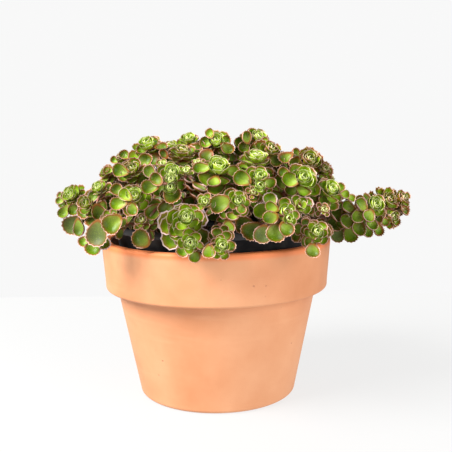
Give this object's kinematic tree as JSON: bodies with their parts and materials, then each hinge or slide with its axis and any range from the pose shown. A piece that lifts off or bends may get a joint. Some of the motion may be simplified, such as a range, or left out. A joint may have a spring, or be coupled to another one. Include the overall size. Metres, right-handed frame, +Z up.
{
  "type": "potted sedum",
  "caption": "Low, dense sedum with scalloped leaf rosettes, in a dark plastic grow pot that stands inside a plain terracotta pot.",
  "frame": {"origin": "centre of the terracotta pot's flat foot, on the surface the pot stands on", "axes": "+Z up along the pot's axis, -Y the front that the picture shows, +X towards the long trailing stem"},
  "size_m": [0.2521, 0.197, 0.1921],
  "materials": {
    "terracotta": "smooth fired clay, matt with faint mottling",
    "grow_pot_plastic": "thin black plastic, semi-matt",
    "soil": "dark loose potting soil",
    "sedum_leaf": "waxy green leaf with a thin pink margin"
  },
  "bodies": {
    "root": {"grow_pot": "grow_pot_plastic", "soil": "soil", "stem_01": "sedum_leaf", "stem_02": "sedum_leaf", "stem_03": "sedum_leaf", "stem_04": "sedum_leaf", "stem_05": "sedum_leaf", "stem_06": "sedum_leaf", "stem_07": "sedum_leaf", "stem_08": "sedum_leaf", "stem_09": "sedum_leaf", "stem_10": "sedum_leaf", "stem_11": "sedum_leaf", "stem_12": "sedum_leaf", "stem_13": "sedum_leaf", "stem_14": "sedum_leaf", "stem_15": "sedum_leaf", "stem_16": "sedum_leaf", "stem_17": "sedum_leaf", "stem_18": "sedum_leaf", "stem_19": "sedum_leaf", "stem_20": "sedum_leaf", "stem_21": "sedum_leaf", "stem_22": "sedum_leaf", "stem_23": "sedum_leaf", "stem_24": "sedum_leaf", "stem_25": "sedum_leaf", "stem_26": "sedum_leaf", "stem_27": "sedum_leaf", "stem_28": "sedum_leaf", "stem_29": "sedum_leaf", "stem_30": "sedum_leaf", "stem_31": "sedum_leaf", "stem_32": "sedum_leaf", "stem_33": "sedum_leaf", "stem_34": "sedum_leaf", "stem_35": "sedum_leaf", "stem_36": "sedum_leaf", "stem_37": "sedum_leaf", "stem_38": "sedum_leaf", "stem_39": "sedum_leaf", "stem_40": "sedum_leaf", "stem_41": "sedum_leaf", "stem_42": "sedum_leaf", "stem_43": "sedum_leaf", "stem_44": "sedum_leaf", "stem_45": "sedum_leaf", "terracotta_pot": "terracotta"}
  },
  "joints": []
}
